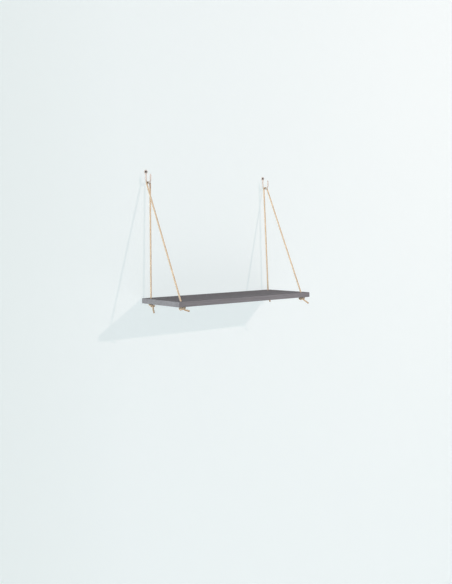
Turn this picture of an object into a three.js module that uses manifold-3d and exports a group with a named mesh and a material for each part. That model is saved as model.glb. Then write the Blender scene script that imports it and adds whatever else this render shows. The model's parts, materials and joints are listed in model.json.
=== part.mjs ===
// Hanging rope shelf: a painted board carried by two ropes. Each rope lies over a J-shaped wall hook,
// both of its ends go down through the board and are held below it by overhand knots.
// Millimetres. +X runs along the shelf to the right, +Y into the wall, +Z up.
// The origin is on the wall face, midway between the hooks, at the height of their screws.

import * as THREE from 'three';
import { mergeVertices } from 'three/addons/utils/BufferGeometryUtils.js';
import Module from 'manifold-3d';

const wasm = await Module();
wasm.setup();

// Fits
const SEAT_GAP = 0.3;
const CUT_OVERRUN = 2;
const WELD_DISTANCE = 0.00001;

// Board
const BOARD_LENGTH = 500;
const BOARD_DEPTH = 200;
const BOARD_THICKNESS = 15;
const BOARD_CORNER_RADIUS = 2;
const BOARD_ARRIS = 0.9;
const HOLE_FROM_END = 20;
const HOLE_FROM_LONG_EDGE = 20;

// Rope
const ROPE_DIAMETER = 5;
const ROPE_HOLE_CLEARANCE = 3;
const ROPE_BEND_RADIUS = 4;
const ROPE_LEG_CLEARANCE = 1;
const ROPE_DROP = 346;
const BIGHT_LAND = 2.3;
const TAIL_REACH_FRONT_LEFT = 8;
const TAIL_REACH_FRONT_RIGHT = 13;
const TAIL_REACH_BACK_LEFT = 10;
const TAIL_REACH_BACK_RIGHT = 4;

// Hook, a bent strip with a round eye for its screw
const HOOK_THICKNESS = 2.2;
const HOOK_WIDTH = 6;
const HOOK_EDGE_RADIUS = 0.9;
const HOOK_EYE_DIAMETER = 13;
const HOOK_EYE_FILLET = 6;
const HOOK_INNER_RADIUS = 12;
const HOOK_DROP = 35;
const HOOK_PRONG_HEIGHT = 27;

// Screw and wall plug
const SCREW_DIAMETER = 3.5;
const SCREW_LENGTH = 35;
const SCREW_POINT_LENGTH = 5;
const SCREW_HEAD_DIAMETER = 7;
const SCREW_HEAD_RIM = 0.3;
const RECESS_SPAN = 3.6;
const RECESS_WIDTH = 0.8;
const RECESS_DEPTH = 1.3;
const PLUG_DIAMETER = 6;
const PLUG_LENGTH = 30;
const PLUG_SET_BACK = 2.4;
const PLUG_BARB_DEPTH = 0.35;
const PLUG_SLOT_WIDTH = 0.8;
const PLUG_COLLAR_LENGTH = 7;

// Counts of facets and repeats
const ROPE_SIDES = 12;
const KNOT_SIDES = 10;
const KNOT_STEPS = 54;
const BEND_STEPS = 8;
const DOME_STEPS = 4;
const HOLE_STEPS = 24;
const ARRIS_STEPS = 3;
const TURN_STEPS = 24;
const PLUG_BARBS = 6;

// Places that follow from the sizes above
const UP = new THREE.Vector3(0, 0, 1);
const ALONG = new THREE.Vector3(1, 0, 0);
const INWARD = new THREE.Vector3(0, 1, 0);
const ropeRadius = ROPE_DIAMETER / 2;
const holeRadius = (ROPE_DIAMETER + ROPE_HOLE_CLEARANCE) / 2;
const holeX = BOARD_LENGTH / 2 - HOLE_FROM_END;
const backHoleY = -HOLE_FROM_LONG_EDGE;
const frontHoleY = HOLE_FROM_LONG_EDGE - BOARD_DEPTH;
const hookX = holeX;
const armY = -(HOOK_THICKNESS + HOOK_INNER_RADIUS);
const armTop = -HOOK_DROP;
const bightZ = armTop + SEAT_GAP + ropeRadius;
const boardTop = bightZ - ROPE_DROP;
const boardBottom = boardTop - BOARD_THICKNESS;
const legOffset = HOOK_WIDTH / 2 + ROPE_LEG_CLEARANCE + ropeRadius;
const bightStraight = legOffset - ROPE_BEND_RADIUS;
const bightEndRadius = Math.hypot(ropeRadius, BIGHT_LAND);

const finish = (color, roughness, metalness) => new THREE.MeshStandardMaterial({ color, roughness, metalness });
const paintedWood = finish('#6f6d71', 0.7, 0);
const rope = finish('#cdbba4', 0.95, 0);
const whiteEnamel = finish('#ece7dc', 0.4, 0.1);
const blackedSteel = finish('#3a3734', 0.45, 0.8);
const greyNylon = finish('#a4a7aa', 0.6, 0);

// Solids and booleans

/** A closed geometry as a solid that can be joined and cut. */
function solidOf(geometry) {
  const bare = geometry.clone();
  bare.deleteAttribute('normal');
  bare.deleteAttribute('uv');
  const merged = mergeVertices(bare, WELD_DISTANCE);
  const mesh = new wasm.Mesh({
    numProp: 3,
    vertProperties: Float32Array.from(merged.attributes.position.array),
    triVerts: Uint32Array.from(merged.index.array),
  });
  return new wasm.Manifold(mesh);
}

/** The solid's surface as a geometry. */
function geometryOf(solid) {
  const mesh = solid.getMesh();
  const geometry = new THREE.BufferGeometry();
  geometry.setAttribute('position', new THREE.BufferAttribute(mesh.vertProperties, mesh.numProp));
  geometry.setIndex(new THREE.BufferAttribute(mesh.triVerts, 1));
  geometry.computeVertexNormals();
  return geometry;
}

/** A body through rings of equally many points, closed by a flat fan at each end. */
function loft(rings) {
  const sides = rings[0].length;
  const positions = rings.flat().flatMap((p) => p.toArray());
  const index = [];
  for (let i = 0; i < rings.length - 1; i += 1) {
    for (let j = 0; j < sides; j += 1) {
      const a = i * sides + j;
      const b = i * sides + ((j + 1) % sides);
      index.push(a, b, a + sides, b, b + sides, a + sides);
    }
  }
  const last = (rings.length - 1) * sides;
  for (let j = 1; j < sides - 1; j += 1) {
    index.push(0, j + 1, j);
    index.push(last, last + j, last + j + 1);
  }
  const geometry = new THREE.BufferGeometry();
  geometry.setAttribute('position', new THREE.Float32BufferAttribute(positions, 3));
  geometry.setIndex(index);
  geometry.computeVertexNormals();
  return geometry;
}

/** A profile of [radius, depth] pairs turned about the screw's axis, which runs along Y. */
function turned(profile) {
  const points = profile.map(([radius, y]) => new THREE.Vector2(radius, y));
  return new THREE.LatheGeometry(points, TURN_STEPS);
}

// Rope

/** A tangent, normal and binormal at each point of a line, turned as little as possible from step to step. */
function ropeFrames(points) {
  const steps = points.slice(1).map((point, i) => point.clone().sub(points[i]).normalize());
  const tangents = points.map((_, i) => {
    const before = steps[Math.max(i - 1, 0)];
    const after = steps[Math.min(i, steps.length - 1)];
    return before.clone().add(after).normalize();
  });
  const normal = Math.abs(tangents[0].x) > Math.abs(tangents[0].z)
    ? UP.clone().cross(tangents[0])
    : ALONG.clone().cross(tangents[0]);
  return points.map((centre, i) => {
    const tangent = tangents[i];
    normal.addScaledVector(tangent, -normal.dot(tangent)).normalize();
    return { centre, tangent, normal: normal.clone(), binormal: tangent.clone().cross(normal) };
  });
}

/** A round section of the rope, shifted along the line by ahead. */
function roundRing({ centre, tangent, normal, binormal }, radius, sides, ahead = 0) {
  return Array.from({ length: sides }, (_, j) => {
    const angle = (2 * Math.PI * j) / sides;
    return centre.clone()
      .addScaledVector(tangent, ahead)
      .addScaledVector(normal, radius * Math.cos(angle))
      .addScaledVector(binormal, radius * Math.sin(angle));
  });
}

/** A rope along a line of points. Its last end can be a half ball about the last point. */
function ropeAlong(points, sides, domed = false) {
  const frames = ropeFrames(points);
  const rings = frames.map((frame) => roundRing(frame, ropeRadius, sides));
  if (domed) {
    const end = frames[frames.length - 1];
    for (let k = 1; k <= DOME_STEPS; k += 1) {
      const angle = (k / (DOME_STEPS + 0.5)) * (Math.PI / 2);
      rings.push(roundRing(end, ropeRadius * Math.cos(angle), sides, ropeRadius * Math.sin(angle)));
    }
  }
  return loft(rings);
}

/**
 * One strand's centre line: from the middle of the bight, along the hook's arm to one side of the strip,
 * round a bend and straight down to the middle of its hole in the board's top.
 */
function strandLine(bight, foot, side) {
  const across = ALONG.clone().multiplyScalar(side);
  const down = foot.clone().sub(bight);
  down.x = 0;
  const drop = down.length();
  down.normalize();
  const place = (u, v) => bight.clone().addScaledVector(across, u).addScaledVector(down, v);
  // The straight part is the tangent from the foot to the bend's circle.
  const toBendCentre = new THREE.Vector2(bightStraight, drop - ROPE_BEND_RADIUS);
  const lean = Math.asin(ROPE_BEND_RADIUS / toBendCentre.length()) + Math.atan2(bightStraight, toBendCentre.y);
  const points = [place(0, 0)];
  for (let k = 0; k <= BEND_STEPS; k += 1) {
    const angle = (k / BEND_STEPS) * (Math.PI / 2 + lean);
    points.push(place(
      bightStraight + ROPE_BEND_RADIUS * Math.sin(angle),
      ROPE_BEND_RADIUS * (1 - Math.cos(angle)),
    ));
  }
  points.push(foot);
  return points;
}

/** The round plug of space, about an axis along Y, inside which the bight lies and outside which the legs start. */
function bightTurn(bight, radius) {
  const cylinder = new THREE.CylinderGeometry(radius, radius, 4 * ROPE_DIAMETER, 2 * TURN_STEPS);
  cylinder.translate(bight.x, bight.y, bight.z);
  return solidOf(cylinder);
}

/** The bight over the hook's arm and the two strands that leave it, front on the outer side of the strip. */
function ropeParts(side) {
  const bight = new THREE.Vector3(side * hookX, armY, bightZ);
  const feet = {
    front: new THREE.Vector3(side * holeX, frontHoleY, boardTop),
    back: new THREE.Vector3(side * holeX, backHoleY, boardTop),
  };
  const frontLine = strandLine(bight, feet.front, side);
  const backLine = strandLine(bight, feet.back, -side);
  const front = solidOf(ropeAlong(frontLine, ROPE_SIDES, true));
  const back = solidOf(ropeAlong(backLine, ROPE_SIDES, true));
  const over = solidOf(ropeAlong([...frontLine.slice(1).reverse(), ...backLine.slice(1)], ROPE_SIDES));
  const inner = bightTurn(bight, bightEndRadius);
  const outer = bightTurn(bight, bightEndRadius + SEAT_GAP);
  return {
    bight: geometryOf(over.intersect(inner)),
    front: geometryOf(front.subtract(outer)),
    back: geometryOf(back.subtract(outer)),
  };
}

// Overhand knot. Its two halves are alike, turned about the Y axis, so only one is listed: from the
// middle of the outer turn, round the lower side and up through the core to the standing part.
// In shares of the rope's diameter.
const KNOT_HALF_SHARES = [
  [0, 1.03, 0],
  [-0.64, 1.01, -0.1],
  [-1.2, 0.72, -0.3],
  [-1.47, 0.2, -0.52],
  [-1.37, -0.4, -0.78],
  [-0.92, -0.85, -0.9],
  [-0.33, -1.02, -0.8],
  [0.22, -0.9, -0.5],
  [0.53, -0.5, -0.15],
  [0.45, -0.04, 0.32],
  [0.45, 0.2, 0.9],
];
const TAIL_TURN_SHARES = { down: 0.45, on: 0.3, straight: 0.9 };

/**
 * A knotted rope end: down the hole, through the knot and along the tail.
 * The knot leans by tilt towards the side that heading names, and its tail falls at drop below the level.
 */
function knotLine(foot, { heading, tilt, drop, reach }) {
  const halfTurn = KNOT_HALF_SHARES.map(([x, y, z]) => new THREE.Vector3(x, y, z));
  const otherHalf = halfTurn.slice(1).map((p) => new THREE.Vector3(-p.x, p.y, -p.z));
  const upright = [...halfTurn.reverse(), ...otherHalf];
  const away = new THREE.Vector3(-Math.cos(drop + tilt), 0, -Math.sin(drop + tilt));
  const turnStart = upright[upright.length - 1].clone()
    .addScaledVector(UP, -TAIL_TURN_SHARES.down)
    .addScaledVector(away, TAIL_TURN_SHARES.on);
  const turnEnd = turnStart.clone().addScaledVector(away, TAIL_TURN_SHARES.straight);
  const tailEnd = turnEnd.clone().addScaledVector(away, reach / ROPE_DIAMETER);
  const knot = [...upright, turnStart, turnEnd, tailEnd].map((p) => p.applyAxisAngle(INWARD, tilt));
  const [standing, ...turns] = knot;
  const knotTop = Math.max(...turns.map((p) => p.z));
  const knotZ = boardBottom - SEAT_GAP - (knotTop + 1 / 2) * ROPE_DIAMETER;
  const place = (p) => new THREE.Vector3(standing.x - p.x, standing.y - p.y, p.z)
    .multiplyScalar(ROPE_DIAMETER)
    .applyAxisAngle(UP, heading)
    .add(new THREE.Vector3(foot.x, foot.y, knotZ));
  const mouth = new THREE.Vector3(foot.x, foot.y, boardBottom);
  const curve = new THREE.CatmullRomCurve3([mouth, ...turns.map(place)], false, 'centripetal');
  const top = new THREE.Vector3(foot.x, foot.y, boardTop - ropeRadius - SEAT_GAP);
  return [top, ...curve.getSpacedPoints(KNOT_STEPS)];
}

// Board

/** The board with rounded corners and edges and a bored hole near each corner. */
function boardGeometry() {
  const r = BOARD_CORNER_RADIUS - BOARD_ARRIS;
  const x = BOARD_LENGTH / 2 - BOARD_ARRIS;
  const near = -BOARD_DEPTH + BOARD_ARRIS;
  const far = -BOARD_ARRIS;
  const outline = new THREE.Shape();
  outline.moveTo(-x + r, near);
  outline.absarc(x - r, near + r, r, -Math.PI / 2, 0);
  outline.absarc(x - r, far - r, r, 0, Math.PI / 2);
  outline.absarc(-x + r, far - r, r, Math.PI / 2, Math.PI);
  outline.absarc(-x + r, near + r, r, Math.PI, (3 * Math.PI) / 2);
  for (const holeXHere of [-holeX, holeX]) {
    for (const holeY of [frontHoleY, backHoleY]) {
      const hole = new THREE.Path();
      const points = Array.from({ length: HOLE_STEPS }, (_, k) => {
        const angle = (-2 * Math.PI * k) / HOLE_STEPS;
        const radius = holeRadius + BOARD_ARRIS;
        return new THREE.Vector2(holeXHere + radius * Math.cos(angle), holeY + radius * Math.sin(angle));
      });
      hole.setFromPoints(points);
      outline.holes.push(hole);
    }
  }
  const geometry = new THREE.ExtrudeGeometry(outline, {
    depth: BOARD_THICKNESS - 2 * BOARD_ARRIS,
    bevelEnabled: true,
    bevelThickness: BOARD_ARRIS,
    bevelSize: BOARD_ARRIS,
    bevelSegments: ARRIS_STEPS,
    curveSegments: ARRIS_STEPS,
  });
  geometry.translate(0, 0, boardBottom + BOARD_ARRIS);
  return geometryOf(solidOf(geometry));
}

// Hook

/** One section of the strip: a rectangle with rounded corners, its width along X and its front towards front. */
function stripRing(centre, along, halfWidth) {
  const front = along.clone().cross(ALONG);
  const halfThickness = HOOK_THICKNESS / 2;
  const round = Math.min(HOOK_EDGE_RADIUS, halfWidth, halfThickness);
  const ring = [];
  for (const [sx, sf, start] of [[1, -1, -0.5], [1, 1, 0], [-1, 1, 0.5], [-1, -1, 1]]) {
    for (let k = 0; k <= ARRIS_STEPS; k += 1) {
      const angle = (start + k / (2 * ARRIS_STEPS)) * Math.PI;
      ring.push(centre.clone()
        .addScaledVector(ALONG, sx * (halfWidth - round) + round * Math.cos(angle))
        .addScaledVector(front, sf * (halfThickness - round) + round * Math.sin(angle)));
    }
  }
  return ring;
}

/** The strip's half width beside the eye, at a height above the screw: the eye's circle, a fillet, the strip. */
function eyeHalfWidths() {
  const eye = HOOK_EYE_DIAMETER / 2;
  const strip = HOOK_WIDTH / 2;
  const filletZ = -Math.sqrt((eye + HOOK_EYE_FILLET) ** 2 - (strip + HOOK_EYE_FILLET) ** 2);
  const meet = Math.acos(filletZ / (eye + HOOK_EYE_FILLET));
  const first = Math.asin(HOOK_EDGE_RADIUS / eye);
  const stations = [];
  const eyeSteps = 2 * BEND_STEPS;
  for (let k = 0; k <= eyeSteps; k += 1) {
    const angle = first + (k / eyeSteps) * (meet - first);
    stations.push([eye * Math.cos(angle), eye * Math.sin(angle)]);
  }
  const filletTurn = meet - Math.PI / 2;
  for (let k = 1; k <= BEND_STEPS; k += 1) {
    const angle = filletTurn * (1 - k / BEND_STEPS);
    stations.push([
      filletZ + HOOK_EYE_FILLET * Math.sin(angle),
      strip + HOOK_EYE_FILLET * (1 - Math.cos(angle)),
    ]);
  }
  return stations;
}

/** The bent strip: down the wall from the eye, round the bend under the rope and up to the round tip. */
function hookStrip() {
  const middle = HOOK_THICKNESS / 2;
  const bendZ = armTop + HOOK_INNER_RADIUS;
  const bendRadius = HOOK_INNER_RADIUS + middle;
  const strip = HOOK_WIDTH / 2;
  const rings = [];
  const down = UP.clone().negate();
  for (const [z, halfWidth] of eyeHalfWidths()) {
    rings.push(stripRing(new THREE.Vector3(0, -middle, z), down, halfWidth));
  }
  const bendSteps = 3 * BEND_STEPS;
  for (let k = 0; k <= bendSteps; k += 1) {
    const angle = (k / bendSteps) * Math.PI;
    const centre = new THREE.Vector3(0, armY + bendRadius * Math.cos(angle), bendZ - bendRadius * Math.sin(angle));
    const along = new THREE.Vector3(0, -Math.sin(angle), -Math.cos(angle));
    rings.push(stripRing(centre, along, strip));
  }
  const tipZ = armTop + HOOK_PRONG_HEIGHT;
  for (let k = 0; k <= BEND_STEPS; k += 1) {
    const angle = (k / (BEND_STEPS + 0.5)) * (Math.PI / 2);
    const z = tipZ - strip * (1 - Math.sin(angle));
    rings.push(stripRing(new THREE.Vector3(0, armY - bendRadius, z), UP, strip * Math.cos(angle)));
  }
  return loft(rings);
}

/** The countersunk screw's outline as [radius, depth] pairs from the point to the head, grown by clearance. */
function screwHeadProfile(clearance) {
  const front = -HOOK_THICKNESS;
  const shank = SCREW_DIAMETER / 2 + clearance;
  const head = SCREW_HEAD_DIAMETER / 2 + clearance;
  const neck = front + SCREW_HEAD_RIM + (SCREW_HEAD_DIAMETER - SCREW_DIAMETER) / 2;
  return { front, shank, head, neck };
}

/** The hook with the countersunk hole that its screw head fills. */
function hookGeometry() {
  const { front, shank, head, neck } = screwHeadProfile(SEAT_GAP);
  const hole = turned([
    [0, CUT_OVERRUN],
    [shank, CUT_OVERRUN],
    [shank, neck],
    [head, front + SCREW_HEAD_RIM],
    [head, front - CUT_OVERRUN],
    [0, front - CUT_OVERRUN],
  ].reverse());
  return geometryOf(solidOf(hookStrip()).subtract(solidOf(hole)));
}

/** The countersunk wood screw with its cross recess. */
function screwGeometry() {
  const { front, shank, head, neck } = screwHeadProfile(0);
  const tip = front + SCREW_LENGTH;
  const body = turned([
    [0, front],
    [head, front],
    [head, front + SCREW_HEAD_RIM],
    [shank, neck],
    [shank, tip - SCREW_POINT_LENGTH],
    [0, tip],
  ]);
  let screw = solidOf(body);
  for (const turn of [0, Math.PI / 2]) {
    const slot = new THREE.BoxGeometry(RECESS_SPAN, 2 * RECESS_DEPTH, RECESS_WIDTH);
    slot.rotateY(turn + Math.PI / 4);
    slot.translate(0, front, 0);
    screw = screw.subtract(solidOf(slot));
  }
  return geometryOf(screw);
}

/** The expansion plug round the screw, barbed outside and slotted from its deep end. */
function plugGeometry() {
  const outer = PLUG_DIAMETER / 2;
  const bore = SCREW_DIAMETER / 2 + SEAT_GAP;
  const mouth = PLUG_SET_BACK;
  const end = mouth + PLUG_LENGTH;
  const barb = (PLUG_LENGTH - PLUG_COLLAR_LENGTH) / PLUG_BARBS;
  const profile = [[bore, mouth], [outer, mouth], [outer, mouth + PLUG_COLLAR_LENGTH]];
  for (let k = 0; k < PLUG_BARBS; k += 1) {
    const start = mouth + PLUG_COLLAR_LENGTH + k * barb;
    profile.push([outer - PLUG_BARB_DEPTH, start], [outer, start + barb]);
  }
  profile.push([bore, end], [bore, mouth]);
  const slotLength = PLUG_LENGTH - PLUG_COLLAR_LENGTH;
  const slot = new THREE.BoxGeometry(2 * PLUG_DIAMETER, slotLength + CUT_OVERRUN, PLUG_SLOT_WIDTH);
  slot.translate(0, end + (CUT_OVERRUN - slotLength) / 2, 0);
  return geometryOf(solidOf(turned(profile)).subtract(solidOf(slot)));
}

// Assembly

const shelf = new THREE.Group();

/** Adds a named piece, in the shelf's frame or moved along X. */
function addPiece(name, geometry, material, x = 0) {
  const mesh = new THREE.Mesh(geometry, material);
  mesh.name = name;
  mesh.position.x = x;
  shelf.add(mesh);
}

// Where each knot leans and its tail points, seen from above with 0 along +X, and how far the tail reaches
const degree = Math.PI / 180;
const TAILS = {
  left_front: { heading: -20 * degree, tilt: 38 * degree, drop: 18 * degree, reach: TAIL_REACH_FRONT_LEFT },
  left_back: { heading: -10 * degree, tilt: 5 * degree, drop: 78 * degree, reach: TAIL_REACH_BACK_LEFT },
  right_front: { heading: -20 * degree, tilt: 35 * degree, drop: 37 * degree, reach: TAIL_REACH_FRONT_RIGHT },
  right_back: { heading: -25 * degree, tilt: 0, drop: 80 * degree, reach: TAIL_REACH_BACK_RIGHT },
};

addPiece('shelf_board', boardGeometry(), paintedWood);
for (const [word, side] of [['left', -1], ['right', 1]]) {
  addPiece(`${word}_hook`, hookGeometry(), whiteEnamel, side * hookX);
  addPiece(`${word}_screw`, screwGeometry(), blackedSteel, side * hookX);
  addPiece(`${word}_wall_plug`, plugGeometry(), greyNylon, side * hookX);
  const parts = ropeParts(side);
  addPiece(`${word}_rope_bight`, parts.bight, rope);
  addPiece(`${word}_front_strand`, parts.front, rope);
  addPiece(`${word}_back_strand`, parts.back, rope);
  for (const [place, y] of [['front', frontHoleY], ['back', backHoleY]]) {
    const foot = new THREE.Vector3(side * holeX, y, boardTop);
    const line = knotLine(foot, TAILS[`${word}_${place}`]);
    addPiece(`${word}_${place}_knot`, ropeAlong(line, KNOT_SIDES), rope);
  }
}

export default shelf;
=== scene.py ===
"""Dresses the hanging rope shelf: laid ropes with knotted ends, painted board, enamelled hooks and screws.

Metres throughout. +X runs along the board to the right, +Y into the wall, +Z up. The origin is on the wall
face, midway between the two hooks, at the height of their screws.
"""

from __future__ import annotations

import json
import logging
import math
from abc import ABC, abstractmethod
from dataclasses import astuple, dataclass, field
from enum import Enum
from functools import reduce
from typing import Any, Sequence

import bmesh
import bpy
import numpy as np
from mathutils import Matrix

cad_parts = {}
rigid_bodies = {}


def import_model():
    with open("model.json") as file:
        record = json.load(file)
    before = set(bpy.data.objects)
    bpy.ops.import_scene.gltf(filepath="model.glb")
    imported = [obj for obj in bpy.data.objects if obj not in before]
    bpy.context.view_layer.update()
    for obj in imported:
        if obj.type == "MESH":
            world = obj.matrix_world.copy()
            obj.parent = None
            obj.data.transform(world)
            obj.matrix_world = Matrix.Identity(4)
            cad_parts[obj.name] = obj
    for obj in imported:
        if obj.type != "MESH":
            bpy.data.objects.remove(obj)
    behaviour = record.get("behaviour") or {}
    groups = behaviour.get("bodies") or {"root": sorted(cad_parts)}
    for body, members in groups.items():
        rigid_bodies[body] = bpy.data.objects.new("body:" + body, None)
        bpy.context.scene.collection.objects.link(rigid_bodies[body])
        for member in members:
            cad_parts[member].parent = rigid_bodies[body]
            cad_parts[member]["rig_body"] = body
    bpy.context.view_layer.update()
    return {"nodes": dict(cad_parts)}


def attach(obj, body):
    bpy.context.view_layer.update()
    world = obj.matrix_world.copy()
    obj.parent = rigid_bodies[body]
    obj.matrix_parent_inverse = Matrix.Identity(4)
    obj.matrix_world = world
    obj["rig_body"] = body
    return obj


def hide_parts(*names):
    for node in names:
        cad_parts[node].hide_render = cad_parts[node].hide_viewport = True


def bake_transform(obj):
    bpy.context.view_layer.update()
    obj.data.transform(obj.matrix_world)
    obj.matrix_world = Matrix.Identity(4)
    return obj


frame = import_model()

Array = np.ndarray
Colour = tuple[float, float, float]
Point = tuple[float, float, float]
Span = tuple[float, float]
Socket = bpy.types.NodeSocket
Outputs = bpy.types.NodeOutputs
Feed = Socket | float | Sequence[float]
TURN = 2.0 * math.pi
NEVER_ZERO = 1e-9
# Noise rarely leaves this part of the range from 0 to 1.
NOISE_SPAN = (0.3, 0.7)
log = logging.getLogger("rope_shelf")


class Side(Enum):
    """Which end of the board a piece belongs to, with its sign along X."""

    LEFT = -1
    RIGHT = 1

    @property
    def word(self) -> str:
        """The side's name as the nodes spell it."""
        return self.name.lower()


class Depth(Enum):
    """Which long edge of the board a rope end belongs to."""

    FRONT = "front"
    BACK = "back"


# Lines and surfaces


def unit(vectors: Array) -> Array:
    """The vectors scaled to length one."""
    return vectors / np.linalg.norm(vectors, axis=-1, keepdims=True)


def turned(points: Array, axis: Point, angle: float) -> Array:
    """Turns points about an axis through the origin.

    The part along the axis stays, the part across it turns: p·cos + (axis × p)·sin + axis·(axis·p)·(1 − cos).

    Args:
        points: Rows of x, y, z.
        axis: Direction of the axis, of length one.
        angle: Radians, by the right-hand rule.

    Returns:
        The turned rows.
    """
    along = np.outer(points @ np.array(axis), axis)
    cosine, sine = math.cos(angle), math.sin(angle)
    return points * cosine + np.cross(axis, points) * sine + along * (1 - cosine)


def curve_through(guides: Array, per_span: int) -> Array:
    """Points on the smooth curve through the guide points.

    Each span is a cubic. Its end slopes weigh the neighbouring chords by the square roots of their lengths,
    and a mirrored point stands past each end, as in the solids.

    Args:
        guides: The points that the curve passes through.
        per_span: How many points each span gets.

    Returns:
        The curve's points, ends included.
    """
    padded = np.vstack([2 * guides[0] - guides[1], guides, 2 * guides[-1] - guides[-2]])
    before, start, end, after = padded[:-3], padded[1:-2], padded[2:-1], padded[3:]
    chords = (start - before, end - start, after - end)
    gap_in, gap, gap_out = (np.sqrt(np.linalg.norm(chord, axis=1))[:, None] for chord in chords)
    slope_in = gap * ((start - before) / gap_in - (end - before) / (gap_in + gap) + (end - start) / gap)
    slope_out = gap * ((end - start) / gap - (after - start) / (gap + gap_out) + (after - end) / gap_out)
    t = np.linspace(0, 1, per_span, endpoint=False)[None, :, None]
    start, end, slope_in, slope_out = (a[:, None, :] for a in (start, end, slope_in, slope_out))
    spans = (
        start
        + slope_in * t
        + (3 * (end - start) - 2 * slope_in - slope_out) * t**2
        + (2 * (start - end) + slope_in + slope_out) * t**3
    )
    return np.vstack([spans.reshape(-1, 3), guides[-1]])


def lengths_along(line: Array) -> Array:
    """Distance from the line's start to each of its points."""
    return np.concatenate([[0.0], np.cumsum(np.linalg.norm(np.diff(line, axis=0), axis=1))])


def evenly_spaced(line: Array, step: float) -> Array:
    """The same line with its points about one step apart.

    Args:
        line: Rows of x, y, z.
        step: Wanted distance between points.

    Returns:
        The respaced rows.
    """
    walked = lengths_along(line)
    at = np.linspace(0, walked[-1], max(2, round(walked[-1] / step)) + 1)
    return np.stack([np.interp(at, walked, part) for part in line.T], axis=1)


def eased(line: Array, reach: int) -> Array:
    """Rounds the line's corners: each point becomes a bell-weighted mean of its neighbours.

    Args:
        line: Evenly spaced rows.
        reach: The bell's standard deviation, in points. The bell is cut off at three of them.

    Returns:
        The eased rows, with both ends where they were.
    """
    n = 3 * reach
    bell = np.exp(-0.5 * (np.arange(-n, n + 1) / reach) ** 2)
    bell /= bell.sum()
    padded = np.vstack([2 * line[0] - line[n:0:-1], line, 2 * line[-1] - line[-2 : -n - 2 : -1]])
    return np.stack([np.convolve(part, bell, mode="valid") for part in padded.T], axis=1)


def carried_axes(line: Array) -> tuple[Array, Array, Array]:
    """Directions that go along with a line, turned as little as can be from point to point.

    Args:
        line: Rows of x, y, z.

    Returns:
        The forward, side and upper directions at each point.
    """
    forward = unit(np.gradient(line, axis=0))
    side = np.empty_like(forward)
    side[0] = np.eye(3)[np.argmin(np.abs(forward[0]))]
    for i in range(len(line)):
        last = side[max(i - 1, 0)]
        side[i] = last - forward[i] * (last @ forward[i])
        side[i] /= math.sqrt(side[i] @ side[i])
    return forward, side, np.cross(forward, side)


def linked(made: bpy.types.Object) -> bpy.types.Object:
    """The object, once it is in the scene."""
    bpy.context.scene.collection.objects.link(made)
    return made


@dataclass
class Surface:
    """Points and faces on their way to one mesh, with a map and named values for its material."""

    points: Array
    quads: Array
    triangles: Array = field(default_factory=lambda: np.zeros((0, 3), int))
    maps: Sequence[Array] = ()
    values: dict[str, Array] = field(default_factory=dict)

    def piece(self, name: str, finish: bpy.types.Material) -> bpy.types.Object:
        """Puts the surface into a smooth-shaded object at the origin.

        Args:
            name: The piece's name.
            finish: Its material.

        Returns:
            The object, linked to the scene.
        """
        mesh = bpy.data.meshes.new(name)
        faces = self.quads.tolist() + self.triangles.tolist()
        mesh.from_pydata(self.points.tolist(), [], faces, shade_flat=False)
        if self.maps:
            layer = mesh.uv_layers.new(name="lay_map")
            corner_map = np.concatenate([m.reshape(-1, 2) for m in self.maps])
            layer.data.foreach_set("uv", corner_map.astype(np.float32).ravel())
        for word, numbers in self.values.items():
            kind, key = ("FLOAT", "value") if numbers.ndim == 1 else ("FLOAT_VECTOR", "vector")
            attribute = mesh.attributes.new(word, kind, "POINT")
            attribute.data.foreach_set(key, numbers.astype(np.float32).ravel())
        mesh.validate()
        mesh.materials.append(finish)
        return linked(bpy.data.objects.new(name, mesh))


def ring_quads(firsts: Array, sides: int) -> Array:
    """The quads between rings of points and the ring that follows each of them.

    Args:
        firsts: The number of the first point of each ring that another follows.
        sides: How many points a ring has.

    Returns:
        Rows of four point numbers.
    """
    here = firsts[:, None] + np.arange(sides)
    beside = firsts[:, None] + (np.arange(sides) + 1) % sides
    return np.stack([here, beside, beside + sides, here + sides], axis=-1).reshape(-1, 4)


def closed_tube(rings: Array, along: Array, values: dict[str, Array]) -> Surface:
    """A tube through closed rings, shut at each end by a pole in the middle of the last ring.

    Point j of ring i has the number i·m + j, and the two poles come last.

    Args:
        rings: Array of n rings by m points by x, y, z, turning right-handed about the way forward.
        along: The map's second value for each ring.
        values: Named values, one row for each of the n·m points; the poles take their ring's mean.

    Returns:
        The surface, with faces outward and the map's first value running 0 to 1 round each ring.
    """
    n, m = rings.shape[:2]
    j = np.arange(m)
    k = (j + 1) % m
    low, middle, high = j / m, (j + 0.5) / m, (j + 1) / m
    u0, u1, v0, v1 = np.broadcast_arrays(low, high, along[:-1, None], along[1:, None])
    quad_map = np.stack([np.stack(p, axis=-1) for p in ((u0, v0), (u1, v0), (u1, v1), (u0, v1))], axis=2)
    first, last = np.full(m, n * m), np.full(m, n * m + 1)
    caps = np.vstack([np.stack([k, j, first], 1), np.stack([j, k, last], 1)])
    caps[m:, :2] += (n - 1) * m
    ends = (((high, low, middle), along[0]), ((low, high, middle), along[-1]))
    cap_map = np.concatenate([np.stack([np.stack(u, 1), np.full((m, 3), v)], axis=2) for u, v in ends])
    points = np.vstack([rings.reshape(-1, 3), rings[0].mean(0), rings[-1].mean(0)])
    carried = {
        word: np.concatenate([v, v[:m].mean(0, keepdims=True), v[-m:].mean(0, keepdims=True)])
        for word, v in values.items()
    }
    return Surface(points, ring_quads(np.arange(n - 1) * m, m), caps, (quad_map, cap_map), carried)


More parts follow.
